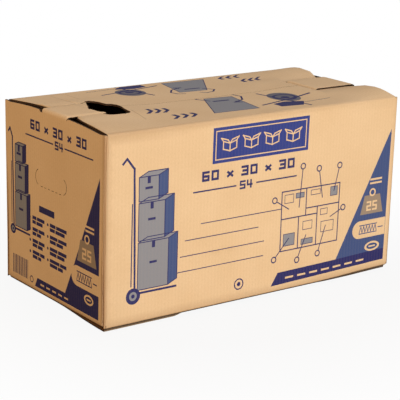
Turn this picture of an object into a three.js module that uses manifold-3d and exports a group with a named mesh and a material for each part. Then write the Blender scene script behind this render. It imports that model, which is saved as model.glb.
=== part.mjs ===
// A die-cut corrugated moving carton, closed: four walls, two layers of bottom flaps, two long top flaps
// that meet at a centre seam, and a lock flap at each end that folds over them and dips into a mouth.
// Millimetres, +Z up, length along X, origin at the centre of the underside.
import * as THREE from "three";
import { mergeVertices } from "three/addons/utils/BufferGeometryUtils.js";
import Module from "manifold-3d";

const wasm = await Module();
wasm.setup();

// Driving dimensions: the sheet and the folded box.
const innerLength = 600;
const innerWidth = 300;
const innerHeight = 303;
const board = 3;
const foldRadius = 3;
const cornerRadius = 4;
const layerGap = 0.3;
const seamGap = 1.5;

// Flaps under and over the walls.
const flapSlot = 5;
const endFlapLength = 148;
const endFlapSideGap = 2;
const flapSetback = 20;
const flapKnee = { fromCentre: 75, setback: 8 };

// Lock flap: a neck over the lid, then a wider head bent down through the mouth.
const neckWidth = 80;
const headWidth = 104;
const headCornerCut = 10;
const shoulderInset = 3;

// The two ends as they are closed: the right neck lies flatter, and its head turns almost straight down.
const neckLength = { left: 72, right: 84 };
const headLength = { left: 36, right: 24 };
const headBendDegrees = { left: 62, right: 86 };
const headFoldRadius = { left: 14, right: 9 };

// Mouth in the lid, measured from the carton's end face, one half in each long flap.
const mouthNear = { left: 66, right: 78 };
const mouthFar = { left: 113, right: 103.5 };
const mouthCorner = 7;
const mouthSideGap = 5;

// Spring of the board: the lid's crown under the necks, and the bulge of the flap ends beside them.
const crown = { left: 3, right: 0 };
const crownLength = 220;
const bulge = { left: 3, right: 9 };
const bulgeLength = 130;

// Perforated hand hole in each end wall, and the glued lap inside one upright corner.
const handHoleWidth = 97;
const handHoleHeight = 29;
const handHoleDepth = 110;
const handHoleShift = 8;
const perforationWidth = 1.2;
const perforationCount = 6;
const lapWidth = 35;
const lapInset = 12;

// Places that follow from the sizes above.
const halfLength = innerLength / 2 + board;
const halfWidth = innerWidth / 2 + board;
const endFlapBottom = board + layerGap;
const innerFloor = endFlapBottom + board;
const lidUnder = innerFloor + innerHeight;
const lidTop = lidUnder + board;
const endWallTop = { left: lidTop + crown.left, right: lidTop + crown.right };
const headroom = 4 * bulge.right;

const arcSegments = 4;

const kraft = () => new THREE.MeshStandardMaterial({ color: 0xcb9f6c, roughness: 0.88, metalness: 0 });

// A closed three.js geometry as a solid.
function solid(geometry) {
  const bare = geometry.clone();
  bare.deleteAttribute("normal");
  bare.deleteAttribute("uv");
  const merged = mergeVertices(bare, 1e-4);
  return new wasm.Manifold(
    new wasm.Mesh({
      numProp: 3,
      vertProperties: new Float32Array(merged.attributes.position.array),
      triVerts: new Uint32Array(merged.index.array),
    }),
  );
}

function meshOf(name, body) {
  const { vertProperties, triVerts, numProp } = body.getMesh();
  const corners = new Float32Array((vertProperties.length / numProp) * 3);
  for (let i = 0; i < corners.length / 3; i++) {
    for (let k = 0; k < 3; k++) corners[3 * i + k] = vertProperties[numProp * i + k];
  }
  const geometry = new THREE.BufferGeometry();
  geometry.setAttribute("position", new THREE.BufferAttribute(corners, 3));
  geometry.setIndex(new THREE.BufferAttribute(new Uint32Array(triVerts), 1));
  geometry.computeVertexNormals();
  const mesh = new THREE.Mesh(geometry, kraft());
  mesh.name = name;
  return mesh;
}

const along = {
  x: new THREE.Matrix4().makeBasis(
    new THREE.Vector3(0, 1, 0),
    new THREE.Vector3(0, 0, 1),
    new THREE.Vector3(1, 0, 0),
  ),
  y: new THREE.Matrix4().makeBasis(
    new THREE.Vector3(0, 0, 1),
    new THREE.Vector3(1, 0, 0),
    new THREE.Vector3(0, 1, 0),
  ),
  z: new THREE.Matrix4(),
};

// An outline extruded along an axis. Along x its coordinates are (y, z), along y (z, x), along z (x, y).
function prism(shape, axis, from, to) {
  const geometry = new THREE.ExtrudeGeometry(shape, {
    depth: to - from,
    bevelEnabled: false,
    curveSegments: arcSegments,
  });
  geometry.translate(0, 0, from);
  return solid(geometry.applyMatrix4(along[axis]));
}

const polygon = (points) => new THREE.Shape(points.map(([u, v]) => new THREE.Vector2(u, v)));

function roundedRectangle(halfU, halfV, radius) {
  const shape = new THREE.Shape();
  shape.absarc(halfU - radius, halfV - radius, radius, 0, Math.PI / 2);
  shape.absarc(-halfU + radius, halfV - radius, radius, Math.PI / 2, Math.PI);
  shape.absarc(-halfU + radius, -halfV + radius, radius, Math.PI, 1.5 * Math.PI);
  shape.absarc(halfU - radius, -halfV + radius, radius, 1.5 * Math.PI, 2 * Math.PI);
  return shape;
}

// Turns a solid made for the left end into the one for the right end.
const atEnd = (end, body) => (end === "left" ? body : body.rotate([0, 0, 180]));

const smooth = (t) => THREE.MathUtils.smoothstep(t, 0, 1);

// How far the lid stands above its flat place, at a distance from the nearer end and from the centre line.
function lidRise(end, fromEnd, fromCentre) {
  const neckSide = neckWidth / 2 + mouthSideGap;
  const across = (innerWidth / 2 - fromCentre) / (innerWidth / 2 - neckSide);
  const start = mouthFar[end] / 2;
  const crowned = crown[end] * smooth(across) * (1 - smooth((fromEnd - start) / (crownLength - start)));
  const fade = 1 - smooth(fromEnd / bulgeLength);
  const bulged = bulge[end] * fade * Math.sin(Math.PI * THREE.MathUtils.clamp(across, 0, 1));
  return crowned + bulged;
}

// One long panel in section: bottom flap, wall and top flap, as a loop of (y, z) for the back side.
function longPanelSection(x) {
  const end = x < 0 ? "left" : "right";
  const rise = (y) => lidRise(end, halfLength - Math.abs(x), y);
  const seam = seamGap / 2;
  const inside = innerWidth / 2;
  const fold = (cy, cz, start) =>
    Array.from({ length: arcSegments + 1 }, (_, i) => {
      const angle = start + (i / arcSegments) * (Math.PI / 2);
      return [cy + foldRadius * Math.cos(angle), cz + foldRadius * Math.sin(angle)];
    });
  const flapSteps = 10;
  const acrossFlap = Array.from({ length: flapSteps + 1 }, (_, i) => inside + (i / flapSteps) * (seam - inside));
  const foldCentre = halfWidth - foldRadius;
  return [
    [seam, 0],
    ...fold(foldCentre, foldRadius, -Math.PI / 2),
    ...fold(foldCentre, lidTop - foldRadius, 0),
    ...acrossFlap.slice(1).map((y) => [y, lidTop + rise(y)]),
    ...acrossFlap.toReversed().map((y) => [y, lidUnder + rise(y)]),
    [inside, board],
    [seam, board],
  ];
}

// Lofts sections of equal count along x.
function loftAlongX(stations, sectionAt) {
  const loops = stations.map(sectionAt);
  const count = loops[0].length;
  const positions = [];
  const index = [];
  loops.forEach((loop, i) => loop.forEach(([y, z]) => positions.push(stations[i], y, z)));
  for (let i = 0; i + 1 < loops.length; i++) {
    for (let j = 0; j < count; j++) {
      const a = i * count + j;
      const b = i * count + ((j + 1) % count);
      index.push(a, b, b + count, a, b + count, a + count);
    }
  }
  for (const [row, flip] of [[0, true], [loops.length - 1, false]]) {
    const contour = loops[row].map(([y, z]) => new THREE.Vector2(y, z));
    for (const [a, b, c] of THREE.ShapeUtils.triangulateShape(contour, [])) {
      const face = flip ? [a, c, b] : [a, b, c];
      index.push(...face.map((k) => row * count + k));
    }
  }
  const geometry = new THREE.BufferGeometry();
  geometry.setAttribute("position", new THREE.Float32BufferAttribute(positions, 3));
  geometry.setIndex(index);
  return solid(geometry);
}

function longPanels() {
  const end = halfLength - flapSlot;
  const steps = 11;
  const fromEnd = Array.from({ length: steps + 1 }, (_, i) => flapSlot + crownLength * (i / steps) ** 1.3);
  const left = fromEnd.map((d) => d - halfLength);
  const stations = [...left, ...left.toReversed().map((x) => -x)];
  stations[0] = -end;
  stations[stations.length - 1] = end;
  const back = loftAlongX(stations, longPanelSection);
  return back.add(back.mirror([0, 1, 0]));
}

// The walls as a sleeve with rounded upright creases.
function sleeve() {
  const outline = roundedRectangle(halfLength, halfWidth, cornerRadius);
  const inside = roundedRectangle(innerLength / 2, innerWidth / 2, cornerRadius - board);
  outline.holes.push(inside);
  return prism(outline, "z", innerFloor, lidUnder);
}

// Bottom flap folded in from an end wall, in (z, x) for the left end.
function endFlap() {
  const outer = -halfLength;
  const shape = new THREE.Shape();
  shape.moveTo(endFlapBottom, outer + endFlapLength);
  shape.lineTo(innerFloor, outer + endFlapLength);
  shape.lineTo(innerFloor, outer + board);
  shape.lineTo(innerFloor + foldRadius, outer + board);
  shape.lineTo(innerFloor + foldRadius, outer);
  shape.lineTo(endFlapBottom + foldRadius, outer);
  shape.absarc(endFlapBottom + foldRadius, outer + foldRadius, foldRadius, -Math.PI / 2, -Math.PI, true);
  const reach = innerWidth / 2 - endFlapSideGap;
  return prism(shape, "y", -reach, reach);
}

// Top edge of an end wall: it rises from the corners to the neck's fold.
function endWallCrest(end) {
  const reach = innerWidth / 2 - endFlapSideGap;
  const steps = 12;
  const low = lidUnder - board;
  const crestAt = (y) => {
    const across = (reach - Math.abs(y)) / (reach - neckWidth / 2);
    return lidUnder + (endWallTop[end] - lidUnder) * Math.sin((Math.PI / 2) * Math.min(1, across));
  };
  const side = Array.from({ length: steps + 1 }, (_, i) => reach + (i / steps) * (neckWidth / 2 - reach));
  const crest = [...side.map((y) => [y, crestAt(y)]), ...side.toReversed().map((y) => [-y, crestAt(y)])];
  return prism(polygon([[-reach, low], [reach, low], ...crest]), "x", -halfLength, -halfLength + board);
}

// Half-mouths in both long flaps, laid out at the left end.
function mouth(end) {
  const width = headWidth + 2 * mouthSideGap;
  const shape = roundedRectangle((mouthFar[end] - mouthNear[end]) / 2, width / 2, mouthCorner);
  const centre = -halfLength + (mouthNear[end] + mouthFar[end]) / 2;
  return prism(shape, "z", lidUnder - board, lidTop + headroom).translate([centre, 0, 0]);
}

// What the cut-back ends of the long top flaps leave free behind an end wall.
function flapEndCut() {
  const wallSide = -halfLength + board + layerGap;
  const inside = innerWidth / 2;
  const neckSide = neckWidth / 2;
  const outline = polygon([
    [wallSide, -inside],
    [-halfLength + flapSlot, -inside],
    [-halfLength + flapKnee.setback, -flapKnee.fromCentre],
    [-halfLength + flapSetback, -neckSide],
    [-halfLength + flapSetback, neckSide],
    [-halfLength + flapKnee.setback, flapKnee.fromCentre],
    [-halfLength + flapSlot, inside],
    [wallSide, inside],
  ]);
  return prism(outline, "z", lidUnder - layerGap, lidTop + headroom);
}

// Perforations of the hand hole: a curved slit at each side, and a dashed line below.
function handHolePerforations() {
  const cut = (shape) => prism(shape, "x", -halfLength - 1, -halfLength + board + 1);
  const radius = handHoleHeight / 2;
  const centreZ = lidTop - handHoleDepth;
  const arcCentre = handHoleWidth / 2 - radius;
  const slit = (side) => {
    const sweep = THREE.MathUtils.degToRad(80);
    const middle = side > 0 ? 0 : Math.PI;
    const centreY = handHoleShift + side * arcCentre;
    const shape = new THREE.Shape();
    shape.absarc(centreY, centreZ, radius, middle - sweep, middle + sweep, false);
    shape.absarc(centreY, centreZ, radius - perforationWidth, middle + sweep, middle - sweep, true);
    return cut(shape);
  };
  const pitch = (2 * arcCentre) / perforationCount;
  const dashes = Array.from({ length: perforationCount }, (_, i) => {
    const start = handHoleShift - arcCentre + (i + 0.25) * pitch;
    const low = centreZ - radius;
    return cut(
      polygon([
        [start, low],
        [start + pitch / 2, low],
        [start + pitch / 2, low + perforationWidth],
        [start, low + perforationWidth],
      ]),
    );
  });
  return [slit(1), slit(-1), ...dashes];
}

// The lap that joins the sheet's two ends, glued inside the left end wall at the back corner.
function glueLap() {
  const back = innerWidth / 2;
  const outline = polygon([
    [back, innerFloor + lapInset],
    [back, lidUnder - lapInset],
    [back - lapWidth, lidUnder - lapInset - lapWidth / 2],
    [back - lapWidth, innerFloor + lapInset + lapWidth / 2],
  ]);
  return prism(outline, "x", -innerLength / 2, -innerLength / 2 + board);
}

function carton() {
  let body = sleeve().add(longPanels());
  for (const end of ["left", "right"]) {
    body = body.add(atEnd(end, endFlap())).add(atEnd(end, endWallCrest(end)));
    body = body.subtract(atEnd(end, mouth(end))).subtract(atEnd(end, flapEndCut()));
    for (const slit of handHolePerforations()) body = body.subtract(atEnd(end, slit));
  }
  return body.add(glueLap());
}

// Lock flap laid out at the left end, in (z, x): the neck lies on the lid, the head is bent into the mouth.
function lockFlap(end) {
  const neckUnder = endWallTop[end] + layerGap;
  const neckTop = neckUnder + board;
  const root = -halfLength;
  const bendStart = root + neckLength[end];
  const bend = THREE.MathUtils.degToRad(headBendDegrees[end]);
  const centreZ = neckUnder + board / 2 - headFoldRadius[end];
  const outerRadius = headFoldRadius[end] + board / 2;
  const innerRadius = headFoldRadius[end] - board / 2;
  const rim = (radius) => [centreZ + radius * Math.cos(bend), bendStart + radius * Math.sin(bend)];
  const reach = [-headLength[end] * Math.sin(bend), headLength[end] * Math.cos(bend)];
  const foldStart = Math.acos(1 - 0.1);
  const profile = new THREE.Shape();
  profile.moveTo(neckUnder, root + foldRadius * (1 - Math.sin(Math.PI / 2 - foldStart)));
  profile.absarc(neckTop - foldRadius, root + foldRadius, foldRadius, foldStart - Math.PI / 2, 0, false);
  profile.absarc(centreZ, bendStart, outerRadius, 0, bend, false);
  profile.lineTo(rim(outerRadius)[0] + reach[0], rim(outerRadius)[1] + reach[1]);
  profile.lineTo(rim(innerRadius)[0] + reach[0], rim(innerRadius)[1] + reach[1]);
  profile.absarc(centreZ, bendStart, innerRadius, bend, 0, true);
  let body = prism(profile, "y", -headWidth / 2, headWidth / 2);

  const low = lidUnder - headLength[end] - headFoldRadius[end];
  const tip = rim(outerRadius)[1] + reach[1];
  for (const side of [-1, 1]) {
    const edge = (side * headWidth) / 2;
    const beyond = edge + side * board;
    const inner = (side * neckWidth) / 2;
    const order = (points) => polygon(side > 0 ? points : points.reverse());
    const notch = order([
      [root - board, inner],
      [bendStart - shoulderInset, inner],
      [bendStart, edge],
      [bendStart, beyond],
      [root - board, beyond],
    ]);
    const corner = order([
      [tip - headCornerCut, edge],
      [tip, edge - side * headCornerCut],
      [tip + board, edge - side * headCornerCut],
      [tip + board, beyond],
      [tip - headCornerCut, beyond],
    ]);
    body = body.subtract(prism(notch, "z", low, neckTop + board));
    body = body.subtract(prism(corner, "z", low, neckTop + board));
  }
  return body;
}

const group = new THREE.Group();
group.add(meshOf("carton", carton()));
group.add(meshOf("left_lock_flap", atEnd("left", lockFlap("left"))));
group.add(meshOf("right_lock_flap", atEnd("right", lockFlap("right"))));

export default group;
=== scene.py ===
# A closed corrugated moving carton on a plain floor: one folded sheet, and a lock flap at each end.
import math

import bpy
from mathutils import Matrix, Vector
from mathutils.geometry import delaunay_2d_cdt


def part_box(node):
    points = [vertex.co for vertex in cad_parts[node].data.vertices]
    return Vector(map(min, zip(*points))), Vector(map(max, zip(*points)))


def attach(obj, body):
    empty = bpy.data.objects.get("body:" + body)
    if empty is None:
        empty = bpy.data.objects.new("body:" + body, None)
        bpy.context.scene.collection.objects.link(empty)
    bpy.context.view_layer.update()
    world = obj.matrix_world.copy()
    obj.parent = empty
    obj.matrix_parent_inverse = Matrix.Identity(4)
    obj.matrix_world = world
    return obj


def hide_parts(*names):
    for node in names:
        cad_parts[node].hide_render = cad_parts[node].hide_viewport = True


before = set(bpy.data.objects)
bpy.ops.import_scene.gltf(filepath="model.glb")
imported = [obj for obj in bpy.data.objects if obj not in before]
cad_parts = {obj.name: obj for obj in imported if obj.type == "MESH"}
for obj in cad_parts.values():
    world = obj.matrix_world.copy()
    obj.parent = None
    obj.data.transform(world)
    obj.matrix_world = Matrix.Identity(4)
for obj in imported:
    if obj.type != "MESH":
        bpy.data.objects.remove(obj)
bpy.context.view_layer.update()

# Units and the carton's sizes, in millimetres. Overall sizes come from the frame.
MM = 0.001
carton_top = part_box("carton")[1]
HALF_LENGTH = carton_top[0] / MM
HALF_WIDTH = carton_top[1] / MM
LENGTH = 2 * HALF_LENGTH
WIDTH = 2 * HALF_WIDTH
NECK_TOP = {end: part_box(f"{end}_lock_flap")[1][2] / MM for end in ("left", "right")}
BOARD = 3.0
LAYER_GAP = 0.3
CROWN = {"left": 3.0, "right": 0.0}
LID_TOP = NECK_TOP["left"] - BOARD - LAYER_GAP - CROWN["left"]
LID_UNDER = LID_TOP - BOARD
END_FLAP_LEVEL = BOARD + LAYER_GAP
WALL_FOOT = END_FLAP_LEVEL + BOARD
# The walls' corners run on as ears between the flaps, and a slit parts each flap from its ear.
EAR_TOP = LID_TOP - 1.2
EAR_FOOT = 2.2
EAR_SLOPE = 9.0
SLIT = 0.7
# How far the left wall's raw edge stands past the back wall at the lapped corner.
JOINT_LIP = 3.0

FOLD = 4.0
CORNER = 4.0
SEAM = 0.7
FLAP_SLOT = 5.0
FLAP_SETBACK = 20.0
# Where a long flap's end starts to slant in: from the seam, and from the end face.
FLAP_KNEE = (75.0, 8.0)
END_FLAP_REACH = 148.0
NECK_WIDTH = 80.0
NECK_LENGTH = {"left": 72.0, "right": 84.0}
HEAD_WIDTH = 104.0
HEAD_LENGTH = {"left": 36.0, "right": 24.0}
HEAD_BEND = {"left": math.radians(84), "right": math.radians(86)}
HEAD_FOLD = {"left": 3.5, "right": 5.0}
ROOT_FOLD = 7.0
MOUTH_FAR = {"left": 113.0, "right": 103.5}
# Half-mouths as (distance from the end face, distance from the seam), from the near edge to the far one.
HALF_MOUTHS = {
    ("left", "front"): [
        (60, 0), (60, 38), (66, 46), (70, 54), (76, 57), (98, 57.5),
        (109, 55), (115.5, 47), (117, 37), (121, 18), (124.5, 8), (125, 0),
    ],
    ("left", "back"): [
        (60, 0), (60, 38), (80, 42.5), (87, 47), (92, 53), (99, 54.5),
        (106, 49), (110.5, 39), (113, 22), (121, 18), (125.5, 10), (126, 0),
    ],
    ("right", "front"): [
        (78, 0), (78, 36), (84, 41), (95, 43), (99, 42), (100, 38), (100, 0),
    ],
    ("right", "back"): [
        (78, 0), (78, 36), (84, 41), (95, 42), (99, 40), (100, 34), (100, 0),
    ],
}
# The lie of the lid by its locks. A pair is where a change starts, from the end face or the neck's edge,
# and how far it runs.
CROWN_LENGTH = 220.0
CROWN_MARGIN = 5.0
BULGE = {"left": 3.0, "right": 9.0}
BULGE_LENGTH = 130.0
BULGE_SKEW = 0.9
SPRUNG = {"left": 2.4, "right": 2.6}
SPRUNG_ALONG = (118, 80)
SPRUNG_ACROSS = (10, 45)
PRESSED_ALONG = (90, 12)
PRESSED_WIDTH = {"left": 2.5, "right": 60.0}
PRESSED_LINE = 63
# The wavy walls, and the foot: the front bottom flap sags, and the front right corner stands off the floor.
WARP = 0.5
WARP_EDGE = 60
SAG = 5.6
SAG_REACH = (20, 130)
SAG_STEP = (142, 12)
SAG_STEP_SHARE = 0.56
LIFT = 4.0
LIFT_FRONT = (425, 180)
LIFT_RIGHT = 80
LIFT_HEIGHT = 90
FOOT_ROLL = 2.5
FOOT_ROWS = (4.6, 5.2, 5.8, 6.5)
SAG_ROWS = (25.0, 60.0, 95.0, 125.0)
LAP_WIDTH = 35.0
LAP_INSET = 12.0
HAND_HOLE = {
    "width": 97.0, "height": 29.0, "depth": 110.0, "shift": 8.0, "slit": 1.0, "dashes": 6, "turn": 66,
}

# The blank: u runs round the walls from the back left corner, v is height on a wall.
PANELS = {
    "left": (0.0, WIDTH),
    "front": (WIDTH, WIDTH + LENGTH),
    "right": (WIDTH + LENGTH, 2 * WIDTH + LENGTH),
    "back": (2 * WIDTH + LENGTH, 2 * (WIDTH + LENGTH)),
}
ARC = math.pi / 2 * FOLD
GRID_WALL = 11.0
GRID_LID = 7.0
CURVE_STEPS = 6
CREST_STEPS = 60
# The seam has points of its own between the mouths, from this step of the lid's grid.
SEAM_FROM = 19
# Points round the foot of the front right corner, for the shade there.
CORNER_COLUMNS = (-2.6, -1.3, 0.0, 1.3, 2.6)
CORNER_ROWS = (3.0, 4.5, 6.0, 8.0, 10.0)


def smooth(t):
    """An even step from 0 to 1 as t goes from 0 to 1."""
    t = min(1.0, max(0.0, t))
    return t * t * (3 - 2 * t)


def rise(x, start, length):
    return smooth((x - start) / length)


def fall(x, start, length):
    return 1 - rise(x, start, length)


def along_fold(reach):
    """Length of sheet from the start of a fold to a point that lies reach inside the wall's face."""
    return ARC + reach - FOLD


def lid_at(reach):
    """The blank's v on a long top flap, at reach inside the wall's face."""
    return LID_TOP - FOLD + along_fold(reach)


def under_at(reach):
    """The blank's v on a long bottom flap, at reach inside the wall's face."""
    return FOLD - along_fold(reach)


def lid_rise(x, across):
    """Height of the lid above its flat place, at x and at a distance across from the long wall's face."""
    end = "left" if x < 0 else "right"
    from_end = HALF_LENGTH - abs(x)
    share = (across - BOARD) / (HALF_WIDTH - BOARD - NECK_WIDTH / 2 - CROWN_MARGIN)
    start = MOUTH_FAR[end] / 2
    crown = CROWN[end] * smooth(share) * fall(from_end, start, CROWN_LENGTH - start)
    arch = math.sin(math.pi * min(1.0, max(0.0, share)) ** BULGE_SKEW)
    bulge = BULGE[end] * fall(from_end, 0, BULGE_LENGTH) * arch
    off_neck = HALF_WIDTH - across - NECK_WIDTH / 2
    pressed = fall(from_end, *PRESSED_ALONG) * fall(off_neck, 0, PRESSED_WIDTH[end])
    spread = fall(off_neck, *SPRUNG_ACROSS) * fall(from_end, *SPRUNG_ALONG)
    return crown + bulge + SPRUNG[end] * (1 - pressed) * spread


def panel_at(u):
    """The panel at u, and the distance from its start."""
    for name, (start, stop) in PANELS.items():
        if u <= stop:
            return name, u - start
    return "lap", u - PANELS["back"][1]


def ring(u):
    """Point on the outer face of the walls, and the outward direction there, as seen from above."""
    name, p = panel_at(u)
    joint_turn = LENGTH - CORNER - BOARD
    if name == "back" and p > joint_turn or name == "lap":
        q = p + (LENGTH if name == "lap" else 0) - joint_turn
        centre = Vector((-HALF_LENGTH + BOARD + CORNER, HALF_WIDTH - CORNER))
        if q < 2 * CORNER:
            turn = math.pi / 2 * (1 + q / (2 * CORNER))
            out = Vector((math.cos(turn), math.sin(turn)))
            return centre + CORNER * out, out
        return Vector((-HALF_LENGTH + BOARD, HALF_WIDTH - CORNER - (q - 2 * CORNER))), Vector((-1, 0))
    corners = [
        Vector((-HALF_LENGTH, HALF_WIDTH)),
        Vector((-HALF_LENGTH, -HALF_WIDTH)),
        Vector((HALF_LENGTH, -HALF_WIDTH)),
        Vector((HALF_LENGTH, HALF_WIDTH)),
    ]
    ways = [Vector((0, -1)), Vector((1, 0)), Vector((0, 1)), Vector((-1, 0))]
    k = list(PANELS).index(name)
    length = PANELS[name][1] - PANELS[name][0]
    out = Vector((ways[k].y, -ways[k].x))
    if p < CORNER and k > 0:
        turn = math.pi / 4 * (1 + p / CORNER)
        before = Vector((ways[k - 1].y, -ways[k - 1].x))
        normal = before * math.cos(turn) + out * math.sin(turn)
        return corners[k] + (ways[k] - ways[k - 1]) * CORNER + normal * CORNER, normal
    if p > length - CORNER and k < 3:
        turn = math.pi / 4 * (p - length + CORNER) / CORNER
        after = Vector((ways[k + 1].y, -ways[k + 1].x))
        normal = out * math.cos(turn) + after * math.sin(turn)
        return corners[k + 1] + (ways[k + 1] - ways[k]) * CORNER + normal * CORNER, normal
    return corners[k] + ways[k] * p, out


def wall_warp(u, v):
    """Slight unevenness of the board on the walls, none at their edges."""
    name, p = panel_at(u)
    if name == "lap":
        return 0.0
    length = PANELS[name][1] - PANELS[name][0]
    edge = 1.0
    for off in (p, length - p, v, LID_TOP - v):
        edge *= smooth(off / WARP_EDGE)
    wave = math.sin(p / 71 + 0.6) * math.sin(v / 53 + 1.1) + 0.6 * math.sin(p / 37 + v / 61)
    return -WARP * edge * (1 + 0.6 * wave)


def foot_lift(u):
    """How far the foot of the walls stands up by the front right corner."""
    name, p = panel_at(u)
    if name == "front":
        return LIFT * rise(p, *LIFT_FRONT)
    if name == "right":
        return LIFT * fall(p, 0, LIFT_RIGHT)
    return 0.0


def foot_sag(p, reach):
    """How far the front bottom flap hangs below the walls, at p along it and reach inside the wall's face."""
    far_end = rise(p, 438, 25) * (0.1 - 0.3 * rise(p, 500, 100))
    return SAG * (1 - SAG_STEP_SHARE * rise(p, *SAG_STEP) + far_end) * fall(reach, *SAG_REACH)


def place(u, v, depth=0.0):
    """Point of the folded sheet for a point of the blank, depth millimetres below its outer face."""
    at, out = ring(u)
    name, p = panel_at(u)
    foot = 0.0 if name in ("front", "back") else END_FLAP_LEVEL
    top_start = LID_TOP - FOLD
    foot_start = foot + FOLD
    if name == "back" and not foot_start < v < top_start:
        at, out = Vector((HALF_LENGTH - p, HALF_WIDTH)), Vector((0, 1))
    out = Vector((out.x, out.y, 0))
    base = Vector((at.x, at.y, 0))
    up = Vector((0, 0, 1))
    if name in ("front", "back") and v > top_start:
        s, level, sign = v - top_start, top_start, 1
    elif v < foot_start:
        s, level, sign = foot_start - v, foot_start + foot_lift(u), -1
    else:
        lift = foot_lift(u) * fall(v, foot_start, LIFT_HEIGHT)
        return base + out * (wall_warp(u, v) - depth) + up * (v + lift)
    if s < ARC:
        turn = s / FOLD
        radius = FOLD - depth
        return base - out * (FOLD - radius * math.cos(turn)) + up * (level + sign * radius * math.sin(turn))
    reach = FOLD + s - ARC
    point = base - out * reach + up * (level + sign * (FOLD - depth))
    if sign > 0:
        point += up * lid_rise(base.x, reach)
    elif name == "front":
        point -= up * (foot_lift(u) + foot_sag(p, reach)) * rise(reach, FOLD, FOOT_ROLL)
    return point


def arc_points(cx, cy, radius, start, stop, steps=CURVE_STEPS):
    turns = [math.radians(start + (stop - start) * i / steps) for i in range(steps + 1)]
    return [(cx + radius * math.cos(t), cy + radius * math.sin(t)) for t in turns]


def crest(end, p):
    """Height of an end wall's top edge at p along it."""
    reach = HALF_WIDTH - FLAP_SLOT
    share = (reach - abs(p - HALF_WIDTH)) / (reach - NECK_WIDTH / 2)
    if share >= 1:
        return NECK_TOP[end] - ROOT_FOLD
    ear = (EAR_TOP - LID_UNDER) * fall(reach, abs(p - HALF_WIDTH), EAR_SLOPE)
    return LID_UNDER + ear + (BOARD + CROWN[end]) * math.sin(math.pi / 2 * max(0.0, share))


def half_mouth(end, side):
    """The edge of a mouth in one long flap, as (distance from the end face, v)."""
    return [(d, lid_at(HALF_WIDTH - max(off, SEAM / 2))) for d, off in HALF_MOUTHS[(end, side)]]


def blank_outline():
    """The edge of the blank as one loop of (u, v), counterclockwise."""
    seam = lid_at(HALF_WIDTH - SEAM / 2)
    flap_end = [
        (FLAP_SLOT - SLIT, EAR_TOP),
        (FLAP_SLOT - SLIT, LID_UNDER),
        (FLAP_SLOT, LID_UNDER),
        (FLAP_SLOT, lid_at(FOLD)),
        (FLAP_KNEE[1], lid_at(HALF_WIDTH - FLAP_KNEE[0])),
        (FLAP_SETBACK, lid_at(HALF_WIDTH - NECK_WIDTH / 2)),
        (FLAP_SETBACK, seam),
    ]
    bottom, top = [], []
    for name, (start, stop) in PANELS.items():
        long_panel = name in ("front", "back")
        a, b = start + FLAP_SLOT, stop - FLAP_SLOT
        level = 0.0 if long_panel else END_FLAP_LEVEL
        reach = HALF_WIDTH - SEAM / 2 if long_panel else END_FLAP_REACH
        foot = level + FOLD - along_fold(reach)
        if name == "left":
            bottom.append((-JOINT_LIP, EAR_FOOT))
        for u, slit in ((a, -SLIT), (b, SLIT)):
            notch = [(u + slit, EAR_FOOT), (u + slit, WALL_FOOT), (u, WALL_FOOT), (u, foot)]
            bottom += notch if slit < 0 else notch[::-1]
        if not long_panel:
            steps = [a + (b - a) * i / CREST_STEPS for i in range(CREST_STEPS + 1)]
            top += [(p, crest(name, p - start)) for p in steps]
            continue
        first, last = ("left", "right") if name == "front" else ("right", "left")
        top += [(start + d, v) for d, v in flap_end + half_mouth(first, name)]
        top += [(stop - d, v) for d, v in reversed(flap_end + half_mouth(last, name))]
    end = PANELS["back"][1]
    lap = [
        (end, WALL_FOOT + LAP_INSET),
        (end + LAP_WIDTH, WALL_FOOT + LAP_INSET + LAP_WIDTH / 2),
        (end + LAP_WIDTH, LID_UNDER - LAP_INSET - LAP_WIDTH / 2),
        (end, LID_UNDER - LAP_INSET),
    ]
    top = [(-JOINT_LIP, EAR_TOP)] + top
    return bottom + [(end, EAR_FOOT)] + lap + [(end, EAR_TOP)] + list(reversed(top))


def grid_points():
    """Points inside the blank, so that it can bend, sag and take its wear and painted shade."""
    points = []
    columns = int(PANELS["back"][1] // GRID_WALL)
    rows = int((LID_UNDER - WALL_FOOT) // GRID_WALL)
    for i in range(1, columns):
        for j in range(1, rows):
            shift = 0.5 * (j % 2)
            points.append(((i + shift) * GRID_WALL, WALL_FOOT + j * GRID_WALL))
    along, across = int(LENGTH // GRID_LID), int(HALF_WIDTH // GRID_LID)
    seam = lid_at(HALF_WIDTH - SEAM / 2)
    for name in ("front", "back"):
        start, stop = PANELS[name]
        for i in range(along):
            for j in range(1, across):
                u = start + (i + 0.5 * (j % 2)) * GRID_LID
                if min(u - start, stop - u) < CROWN_LENGTH + 20 or j % 3 == 0:
                    points.append((u, lid_at(FOLD + j * GRID_LID)))
        points += [(start + i * GRID_LID, seam) for i in range(SEAM_FROM, along + 1 - SEAM_FROM)]
    start, stop = PANELS["front"]
    foot_rows = [FOLD - ARC * i / CURVE_STEPS for i in range(CURVE_STEPS + 1)]
    foot_rows += [under_at(reach) for reach in FOOT_ROWS + SAG_ROWS]
    for i in range(1, along):
        points += [(start + i * GRID_LID, v) for v in foot_rows]
    for u in CORNER_COLUMNS:
        points += [(stop + u, v) for v in CORNER_ROWS]
    return points


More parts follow.
